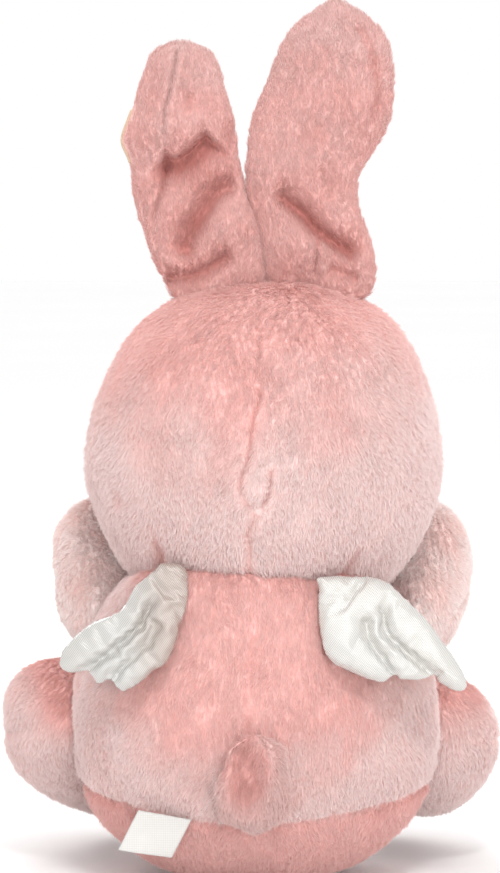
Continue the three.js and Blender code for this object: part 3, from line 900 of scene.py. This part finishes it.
def squeeze_up(points):
    """The back of the neck swells out and up round the head that rests in it."""
    points = np.array(points, float)
    share = smoothstep(82, 106, points[:, 2]) * smoothstep(5, 30, points[:, 1])
    points[:, 1] += 9.5 * share
    points[:, 2] += 7 * share
    return points


def make_body():
    walls = ["body_back_left", "body_back_right", "belly_panel", "seat_base"]
    shell = soft_copy("body_shell", walls, hull=True, levels=1)
    tree = shell.tree()

    def back(x, z):
        spot = tree.ray_cast(Vector((x, 200, z)), Vector((0, -1, 0)))[0]
        return list(spot) if spot else [x, 0, z]

    spine = [back(x, z) for x, z in ((2, 103), (1, 88), (2, 70), (3, 52), (2, 36), (2, 20))]
    ring = []
    for a in np.linspace(0, 2 * math.pi, 33):
        start = Vector((math.sin(a) * 200, -math.cos(a) * 200, ring_height(a)))
        ring.append(list(tree.ray_cast(start, Vector((-math.sin(a), math.cos(a), 0)))[0]))
    form = soft_copy("body_skin", walls, [spine, ring], hull=True, inset=SKIN_DEPTH * 0.9)
    form.points, spine = squeeze_up(form.points), squeeze_up(spine)
    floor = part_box("seat_base")[0].z / MM - ORIGIN[2] / MM
    low = smoothstep(8, 30, form.points[:, 2])
    form.swell(waves(form.points, 40, 41) * 0.8 * low)
    form.swell(waves(form.points, 15, 42) * 0.3 * low)
    spine, ring = form.settled(spine, ring)
    form.groove(spine, 1.4, 0.5)
    form.groove(ring, 1.5, 1.6)
    form.groove([back(-40, 24), back(-46, 30)], 2.6, 1.0, fade=0.3)
    form.groove([back(38, 24), back(47, 33)], 2.6, 1.0, fade=0.3)
    form.swell(pile_relief(form.points, 43))
    form.stand_on(floor)

    def above_floor(roots, out):
        return (roots[:, 2] > floor + 1.2) | (out[:, 2] > -0.5)

    plush_part("body", form, main_plush, "torso", [*walls, "body_stuffing", "bean_pouch"],
               body_frost(form.points) - 0.7 * form.painted_crease_shade, fill=0.9, seed=51,
               partings=[spine, ring], keep=above_floor)


# Limbs


def arm_frost(points):
    return np.clip(0.88 + 0.2 * waves(points, 14, 501), 0, 1)


def leg_frost(points):
    apart = np.abs(points[:, 0] + 2)
    level = points[:, 2] - 0.4 * (apart - 70) + 5 * waves(points, 16, 511)
    # Painted shade on the inner tops of the legs, stronger on the left leg, drawn from the fold
    # colour
    painted_leg_shade = smoothstep(84, 66, apart) * smoothstep(42, 58, points[:, 2])
    painted_leg_shade *= np.where(points[:, 0] > 0, 1.15, 0.6)
    return np.maximum(0.1 + 0.85 * smoothstep(74, 48, level) - painted_leg_shade, -0.3)


LIMB_PUFFS = {  # x and height of the middle, width, how far out
    "arm_left": [(67, 119, 12, 1.8)],
    "arm_right": [(-73, 110, 10, 1.2)],
    "leg_left": [(82, 66, 14, 1.8), (70, 30, 16, -1.0)],
    "leg_right": [(-84, 45, 14, 1.2), (-66, 20, 10, 1.5)],
}


def make_limb(kind, name, seed, *extra):
    title, arm = f"{kind}_{name}", kind == "arm"
    nodes = [f"{title}_upper", f"{title}_lower", *extra, f"{title}_stuffing"]
    seam = limb_seam(title, SIDES[name])
    form = soft_copy(f"{title}_skin", nodes, [seam], voxel=4.0, cap=1.0,
                     inset=-0.4 if arm else 0.5)
    for spot in LIMB_PUFFS[title]:
        form.puff(*spot)
    form.lumps(22, 0.5, seed)
    form.lumps(9, 0.15, seed + 3)
    form.groove(seam, 1.3, 0.5)
    form.swell(pile_relief(form.points, seed + 2))
    form.stand_on(-ORIGIN[2] / MM + cad_box[0].z / MM)
    plush_part(title, form, painted_light_plush if arm else main_plush, title, nodes,
               (arm_frost if arm else leg_frost)(form.points), fill=0.85, seed=seed + 1,
               partings=[seam])


def limb_seam(title, side):
    """Where the two halves of a limb meet: the outer edge of its upper piece, from above."""
    points = form_of(frame["nodes"][f"{title}_upper"].data).points
    depth = points[:, 1]
    bands = [points[np.abs(depth - y) < 9]
             for y in np.linspace(depth.min() + 4, depth.max() - 4, 12)]
    return [band[np.argmax(band[:, 0] * side - 0.6 * band[:, 2])] for band in bands]


# Ears


EARS = {  # height, edge towards the toy's right, edge towards its left, depth, thickness
    "left": [(195.5, 2, 25, -2, 9), (203, -4.6, 30.2, -2, 11), (212, -4.3, 34.8, -1.5, 12),
             (222, -1.8, 38.0, -1.5, 12), (234, 3.2, 41.2, -1, 12), (245, 5.5, 42.9, 0, 12.5),
             (252, 6.5, 45.0, 1, 12.5), (259, 7.6, 43.0, 1.5, 12), (268, 10.2, 39.8, 2, 11),
             (278, 13.5, 36.9, 2, 9), (282.5, 15.8, 34.6, 2, 7.5), (285.2, 17.8, 32.6, 2, 6)],
    "right": [(195.5, -36, -12, -2, 9), (203, -40, -3.9, -2, 11), (212, -40.3, -2.6, -1.5, 12),
              (222, -38, -0.2, -1.5, 12), (231, -35, 2.2, -1, 12), (240, -34.4, 2.9, 0, 12),
              (247, -39, 2.4, 0, 12), (255, -44, 1.5, 0, 13), (266, -46.7, -1.8, 1, 13),
              (278, -46.8, -6.5, 2, 12), (288, -43.5, -11.5, 3, 10), (295, -36.5, -18, 3, 8),
              (299, -31, -23, 3, 6)],
}
EAR_TIP = {"left": 0.055, "right": 0.07}  # share of the height that rounds off
EAR_SEAM = [(26.2, 285), (27.2, 277.4), (29.2, 268.2), (30.7, 261.2), (30.9, 252)]
EAR_BACK_FOLDS = {  # path of x and height, depth, width on its left, width on its right
    "left": [([(14.5, 255), (18, 251.5), (21.5, 248), (25, 245.4), (29, 244.8), (33, 247)],
              6.8, 2.2, 7.0),
             ([(31, 250), (30.6, 241), (31.8, 235), (36, 222)], 1.6, 1.0, 1.5),
             ([(4, 236), (9, 235.5), (13.5, 233), (17, 227.5), (20.5, 221.5), (23, 215.5),
               (25, 209)], 4.6, 6.0, 3.2),
             ([(8, 259), (9.6, 251), (10.6, 244)], 1.5, 3.2, 3.0),
             ([(6, 212.5), (11, 211), (17, 207), (24, 205), (33, 204.5)], 4.0, 3.2, 3.2),
             ([*EAR_SEAM], 0.9, 0.6, 0.6),
             ([(x - 1.9, z) for x, z in EAR_SEAM], -0.9, 1.2, 1.2),
             ([(x + 1.9, z) for x, z in EAR_SEAM], -0.5, 1.2, 1.2),
             ([(22.3, 268), (22.6, 263.3), (23.2, 259)], 1.1, 2.2, 2.2)],
    "right": [([(-4, 233.5), (-9, 231.5), (-15.3, 227), (-20.7, 221), (-28.3, 215.5),
                (-36.5, 209.5)], 5.0, 2.6, 4.4),
              ([(-20.6, 219), (-20.8, 213), (-20, 205)], 1.8, 1.1, 1.1),
              ([(-21.9, 244), (-24, 236), (-26.1, 229)], 1.2, 4.0, 4.0),
              ([(-32, 292), (-37.5, 284), (-40.2, 275), (-41, 266), (-38, 256)], 1.7, 1.2, 2.4),
              ([(-24, 208), (-30, 206.5), (-36, 204)], 2.2, 2.4, 2.4)],
}
EAR_BACK_BULGES = {  # x, height, width, tall, how far out
    "left": [(24, 256, 10, 7, 2.4), (8, 221, 8, 8, 2.2), (28, 228, 5, 14, 1.4),
             (19, 241, 5, 9, 1.2)],
    "right": [(-12, 215, 9, 8, 2.6), (-14, 240, 12, 14, 1.2), (-32, 222, 7, 7, 1.2),
              (-37, 258, 5, 10, 2.0), (-20, 275, 12, 18, 1.2)],
}
EAR_LINING_EDGE = {  # height and how much of the front the lining covers
    "left": [(210, 0.3), (222, 0.62), (240, 0.74), (262, 0.74), (276, 0.5), (281, 0.1)],
    "right": [(210, 0.3), (222, 0.62), (240, 0.72), (270, 0.76), (288, 0.55), (294, 0.1)],
}


def ear_frost(points):
    edge = smoothstep(262, 300, points[:, 2] + 8 * waves(points, 18, 601))
    gap = flat_gap(points[:, [0, 2]], smooth_flat(EAR_SEAM))
    # A painted highlight: paler pile along the seam on the back of the left ear
    seam = np.exp(-((gap / 1.8) ** 2)) * (points[:, 1] > 2)
    return np.clip(0.12 + 0.4 * edge + 0.2 * seam + 0.10 * waves(points, 12, 602), 0, 1)


def make_ear(name, seed):
    stations = smooth_path(EARS[name], 0.5)
    rows, around = ((230, 210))
    form = loft(EARS[name], rows, around, tip=EAR_TIP[name])
    form.lumps(20, 0.4, seed)
    for x, z, width, tall, out in EAR_BACK_BULGES[name]:
        form.bulge(x, z, width, tall, out)
    for path, depth, left, right in EAR_BACK_FOLDS[name]:
        form.press(path, depth, left, right)
    low = np.interp(form.points[:, 2], stations[:, 0], stations[:, 1])
    high = np.interp(form.points[:, 2], stations[:, 0], stations[:, 2])
    middle = [((a + b) / 2, z) for z, a, b, *_ in EARS[name][2:-1]]
    form.press(middle, 3.4, 9, 9, fade=0.12, way=-1)
    share = np.abs(form.points[:, 0] - (low + high) / 2) / np.maximum((high - low) / 2, 1e-6)
    covers = np.interp(form.points[:, 2], *zip(*EAR_LINING_EDGE[name]), left=0, right=0)
    facing = form.normals()[:, 1]
    lined = (share < covers) & (facing < -0.1)
    if name == "left":
        sliver = (form.points[:, 0] > 36) & (np.abs(form.points[:, 2] - 253.5) < 9.5)
        lined |= sliver & (facing < 0.55) & (facing > -0.9)
    lining_form = patch(form, lined)
    form.swell(np.where(lined, 0, pile_relief(form.points, seed + 4)))
    nodes = [f"ear_{name}_back", f"ear_{name}_stuffing"]
    spots = lining_form.tree()

    def off_lining(roots, out):
        return np.array([spots.find_nearest(Vector(p), 1.3)[0] is None for p in roots])

    plush_part(f"ear_{name}", form, painted_shade_plush, f"ear_{name}", nodes,
               ear_frost(form.points) - 1.3 * form.painted_crease_shade, fill=0.5, length=2.0, seed=seed + 1,
               keep=off_lining, towards=-DOWN, swirl=0.35, calm=0.45)
    piece(f"ear_{name}_lining_panel", lining_form, lining, f"ear_{name}",
          [f"ear_{name}_lining"])


def patch(form, chosen, lift=0.5, thick=0.7):
    """A thin closed panel lying on the chosen part of a form."""
    faces = [f for f in form.faces if all(chosen[i] for i in f)]
    used = sorted({i for f in faces for i in f})
    upper = renumbered(faces, used)
    edges = rim_order(upper)
    rim = np.zeros(len(used), bool)
    rim[[i for edge in edges for i in edge]] = True
    out = form.normals()[used]
    top = form.points[used] + out * np.where(rim, 0.05, lift)[:, None]
    bottom = form.points[used] - out * thick
    n = len(used)
    lower = [tuple(i + n for i in reversed(f)) for f in upper]
    band = [(b, a, a + n, b + n) for a, b in edges]
    return Form(np.vstack([top, bottom]), upper + lower + band)


# Wings, tail and label


WINGS = {  # outline and quilting lines in the wing's own plane, outwards and up from its root
    "left": {
        "edge": [(-2.5, -4.6), (-1.7, -0.9), (1, 0.8), (5.6, 1.3), (8.7, -1), (12.5, -3.9),
                 (16.6, -7.6), (19.7, -12.3), (25.1, -16.2), (31.3, -19.9), (37.5, -25.2),
                 (40.8, -30.3), (41, -34.3), (37.2, -36.7), (32, -36.1), (28.3, -40),
                 (23.9, -39.1), (19.5, -42.5), (14, -39.7), (9.2, -35.6), (4.5, -31.8),
                 (1.8, -26.2), (-0.3, -19.6), (-2.1, -11.8)],
        "lines": [[(32, -36.1), (22.1, -28.1), (16.6, -23.6), (12.5, -19.2), (10.6, -15)],
                  [(23.9, -39.1), (16.6, -31.8), (11.5, -26.6), (8.5, -20.7)]],
    },
    "right": {
        "edge": [(-3.9, -2.9), (-4.1, 1), (2.5, 1.7), (8.7, 1.4), (14.9, 0.6), (19.8, -1.4),
                 (25.6, -6.1), (31.3, -11), (35.7, -16), (41, -22.2), (45.8, -28.9),
                 (47.5, -34.3), (44.4, -36.1), (37.4, -34.4), (35.3, -32.6), (29.2, -34),
                 (23.5, -33.2), (21.5, -32.2), (17, -34.9), (13.2, -34.2), (7.9, -31.8),
                 (2.5, -28.6), (-0.7, -25.7), (-2.5, -21.9), (-3.7, -12.4)],
        "lines": [[(35.3, -32.6), (26.5, -25.1), (19.3, -17.9), (17.9, -11.6)],
                  [(21.5, -32.2), (16.9, -26.1), (13, -19.3), (12.1, -14.5)]],
    },
}
WING_OUT = {"left": -2.4, "right": -1.7}  # brings the root back onto the pile of the back
WING_LEAN, WING_SWEEP = math.radians(14), math.radians(10)
WING_SHEAR = 0.05


def nearest_line(points, lines):
    return np.min([flat_gap(points, line) for line in lines], axis=0)


def turned(a, b, angle):
    """Two coordinates after a turn from the first towards the second."""
    return a * math.cos(angle) - b * math.sin(angle), a * math.sin(angle) + b * math.cos(angle)


def wing_outline(name):
    """The wing's edge, rounded through its points."""
    edge = np.array(WINGS[name]["edge"], float)
    ends = np.vstack([edge[-1:], edge, edge[:2]])
    t = np.linspace(0, 1, 6, endpoint=False)[:, None]
    return np.vstack([bend(*four, t) for four in zip(ends, ends[1:], ends[2:], ends[3:])])


def wing_sheet(edge, spacing):
    """Flat points filling the wing's edge, their triangles, and which points are on the edge."""
    low, high = edge.min(0), edge.max(0)
    grid = np.array([(x + spacing / 2 * (row % 2), y)
                     for row, y in enumerate(np.arange(low[1], high[1], spacing * 0.87))
                     for x in np.arange(low[0], high[0], spacing)])
    loop = closed(edge)
    grid = grid[winding(grid, edge) & (flat_gap(grid, loop) > spacing * 0.55)]
    ring = [(i, (i + 1) % len(edge)) for i in range(len(edge))]
    corners = [Vector(p) for p in (*edge, *grid)]
    flat, _, faces, *_ = delaunay_2d_cdt(corners, ring, [], 1, 1e-5)
    flat = np.array([tuple(p) for p in flat])
    return flat, [tuple(f) for f in faces], flat_gap(flat, loop) < 1e-4


def make_wing(name):
    side, title = SIDES[name], f"wing_{name}"
    edge = wing_outline(name)
    lines = [smooth_flat(line) for line in WINGS[name]["lines"]]
    flat, faces, rim = wing_sheet(edge, 1.5)
    n = len(flat)
    plump = 1 - np.exp(-((nearest_line(flat, lines) / 1.8) ** 2)) * 0.9
    swollen = 0.6 + 3.2 * (1 - np.exp(-flat_gap(flat, closed(edge)) / 3.5))
    height = np.where(rim, 0, swollen * plump)
    height = height + np.where(rim, 0, 0.3 * waves(np.c_[flat, np.zeros(n)], 5, 61 + int(side)))
    back = np.where(rim, np.arange(n), np.arange(n) + n)
    points = np.vstack([np.c_[flat[:, 0], height, flat[:, 1]],
                        np.c_[flat[:, 0], -height * 0.7, flat[:, 1]]])
    lower = [tuple(int(back[i]) for i in reversed(f)) for f in faces]
    form = outwards(tidy_form(Form(points, faces + lower)))
    from_root = np.hypot(form.points[:, 0] - 2, form.points[:, 2] * 0.5) / 2
    pins = np.minimum(nearest_line(form.flat(), lines) * 1.6, from_root)
    mesh = inflated(mesh_of(title, form), title, pins, 14.0, 4.0, looseness=0.06)
    form = refined(title, mesh, 2)
    sewn = nearest_line(form.flat(), lines)
    gathers = waves(form.points, 2.4, 63 + int(side)) * np.exp(-((sewn / 2.6) ** 2))
    form.swell(0.22 * gathers + 0.08 * waves(form.points, 4, 66))
    form.points[:, 0] += WING_SHEAR * np.minimum(form.points[:, 2], 0)
    root = (np.array(JOINTS[f"{title}_lift"]["pos_m"]) - ORIGIN) / MM
    root[1] += WING_OUT[name]
    x, y, z = (form.points * [side, 1, 1]).T
    y, z = turned(y, z, WING_LEAN)
    x, y = turned(x, y, WING_SWEEP * -side)
    form.points = np.stack([x, y, z], 1) + root
    nodes = [f"{title}_outer", f"{title}_inner", f"{title}_batting"]
    piece(f"{title}_satin", outwards(form), satin, title, nodes)


def outwards(form):
    """The closed form with its faces turned outwards."""
    if signed_volume(form) < 0:
        form.faces = [tuple(reversed(f)) for f in form.faces]
    return form


def renumbered(faces, used):
    """The faces once only the used points are kept."""
    order = {old: new for new, old in enumerate(used)}
    return [tuple(order[i] for i in f) for f in faces]


def tidy_form(form):
    """The form without the points that no face uses."""
    used = sorted({i for f in form.faces for i in f})
    return Form(form.points[used], renumbered(form.faces, used))


def signed_volume(form):
    tri = form.triangles()
    a, b, c = (form.points[tri[:, i]] for i in range(3))
    return float((a * np.cross(b, c)).sum() / 6)


def rim_order(faces):
    """The edges that only one face uses, each in that face's own direction."""
    used = {}
    for face in faces:
        for a, b in zip(face, (*face[1:], face[0])):
            used[(a, b)] = True
    return [edge for edge in used if (edge[1], edge[0]) not in used]


def tail_frost(points):
    # Painted shade in the cup's recess, where the value drops below 0 towards the fold colour;
    # paler pile out towards the rim
    share = ((points[:, 0] - 2.8) / 6.6) ** 2 + ((points[:, 2] - 45.5) / 12) ** 2
    return -0.3 + 0.9 * smoothstep(0.2, 1.9, share + 0.25 * waves(points, 7, 701))


TAIL = [  # height, edge towards the toy's right, edge towards its left, depth, thickness
    (24.8, -6, 7, 54, 8), (27.2, -9.4, 10, 55.5, 11), (30.5, -10.4, 11.4, 57.2, 13),
    (38.6, -10.6, 12, 59.2, 13.5), (47, -9.6, 9.6, 60, 12.5), (52, -8.6, 8.0, 59.8, 11),
    (56, -5.2, 4.8, 59.2, 8)]
TAIL_BULGES = [  # x, height, width, tall, how far out
    (-5.5, 44, 3.2, 8, 2.4), (3, 28.5, 8, 4, 2.0), (9.5, 34, 3, 6, 1.4),
    (2.4, 45, 5.2, 10, -5.0), (5.0, 51, 3.0, 5, -2.6)]


def make_tail():
    form = loft(TAIL, *(((90, 120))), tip=0.2, base=0.2)
    for spot in TAIL_BULGES:
        form.bulge(*spot)
    form.lumps(10, 0.35, 71)
    form.swell(pile_relief(form.points, 72))
    plush_part("tail", form, painted_shade_plush, "tail", ["tail_outer", "tail_inner", "tail_stuffing"],
               tail_frost(form.points), fill=0.5, seed=73)


LABEL_SIZE = (18.0, 14.5)  # width, and length as it hangs folded in two
LABEL_THICK = 0.3
LABEL_FOLD = 0.55  # radius
LABEL_PLACE = [30.2, 45.7, 27.7]
LABEL_HANG, LABEL_RISE = math.radians(27), math.radians(10)


def make_label():
    """A ribbon folded in two, sewn in by its ends and tilted outwards."""
    width, length = LABEL_SIZE
    across = np.linspace(-width / 2, width / 2, 25)
    turn = LABEL_FOLD
    straight = np.linspace(0, length - turn, 22)
    arc = np.linspace(0, math.pi, 9)[1:-1]
    profile = [(turn, -d) for d in straight]
    profile += [(turn * math.cos(a), -(length - turn) - turn * math.sin(a)) for a in arc]
    profile += [(-turn, -d) for d in reversed(straight)]
    points, faces = [], []
    for y, z in profile:
        for x in across:
            curl = 1.8 * (z / length) ** 2 * math.sin(x * 0.16 + 0.6)
            points.append((x, y + curl, z))
    cols = len(across)
    for r in range(len(profile) - 1):
        faces += [(r * cols + c, r * cols + c + 1, (r + 1) * cols + c + 1, (r + 1) * cols + c)
                  for c in range(cols - 1)]
    form = Form(points, faces)
    x, z = form.points[:, 0].copy(), form.points[:, 2].copy()
    form.points[:, 0] = x * math.cos(LABEL_RISE) - z * math.sin(LABEL_HANG)
    form.points[:, 2] = x * math.sin(LABEL_RISE) + z * math.cos(LABEL_HANG)
    form.points += LABEL_PLACE
    mesh = applied("label", mesh_of("label", form), ("SOLIDIFY", {
        "thickness": LABEL_THICK * MM, "offset": 0.0}))
    made = piece("label_ribbon", form_of(mesh), ribbon, "label", ["care_label"])


# The pieces inside keep their CAD shape and get their own finish


def finish_inside():
    finishes = {"stuffing": fibrefill, "batting": fibrefill, "wad": fibrefill,
                "washer": washer_plastic, "pouch": pouch_cloth}
    for name, node in frame["nodes"].items():
        for word, material in finishes.items():
            if word in name:
                node.data.materials.clear()
                node.data.materials.append(material)


# Stage, light and camera


def make_stage():
    bm = bmesh.new()
    bmesh.ops.create_grid(bm, x_segments=2, y_segments=2, size=6)
    mesh = bpy.data.meshes.new("floor")
    bm.to_mesh(mesh)
    bm.free()
    floor = object_of("floor", mesh)
    floor.location = (0, 0, cad_box[0].z - 0.0002)
    look = Look("floor_paper", Roughness=0.9)
    look.paint(look.ramp(look.spots(3), (0.3, (0.98, 0.98, 0.98)), (0.7, (0.995, 0.995, 0.995))))
    mesh.materials.append(look.material)
    world = bpy.data.worlds.new("studio")
    world.use_nodes = True
    sky = world.node_tree.nodes["Background"].inputs
    sky["Color"].default_value = (1, 1, 1, 1)
    sky["Strength"].default_value = 1.0
    bpy.context.scene.world = world
    bpy.context.scene.view_settings.view_transform = "Standard"


def make_light(name, spot, size, power):
    data = bpy.data.lights.new(name, "AREA")
    data.size = size
    data.energy = power
    made = object_of(name, data)
    made.location = spot
    aim = Vector((0, 0, 0.14)) - Vector(spot)
    made.rotation_euler = aim.to_track_quat("-Z", "Y").to_euler()


CAMERA_FAR = 1.5
CAMERA_RISE = math.radians(4)
CAMERA_ROOM = 1.0057  # height of the picture over the height of the toy
SENSOR = 36


def make_camera():
    low, high = cad_box
    tall = (high.z - low.z) * CAMERA_ROOM
    data = bpy.data.cameras.new("camera")
    data.sensor_width = SENSOR
    data.lens = SENSOR / 2 / (tall / 2 / CAMERA_FAR)
    made = object_of("camera", data)
    back = Vector((0, math.cos(CAMERA_RISE), math.sin(CAMERA_RISE)))
    made.location = (low + high) / 2 + back * CAMERA_FAR
    made.rotation_euler = (-back).to_track_quat("-Z", "Y").to_euler()
    bpy.context.scene.camera = made


make_stage()
make_light("key", (-0.12, 1.1, 1.25), 0.3, 7.5)
make_light("fill", (-0.3, 1.45, 0.3), 0.5, 4.4)
make_light("front", (0.4, -1.1, 0.9), 0.8, 5.5)
make_camera()
make_head()
make_muzzle()
make_face()
make_body()
for side_name, number in (("left", 100), ("right", 140)):
    make_limb("arm", side_name, number)
    make_limb("leg", side_name, number + 10, f"foot_{side_name}_sole")
    make_ear(side_name, number + 20)
    make_wing(side_name)
make_tail()
make_label()
finish_inside()
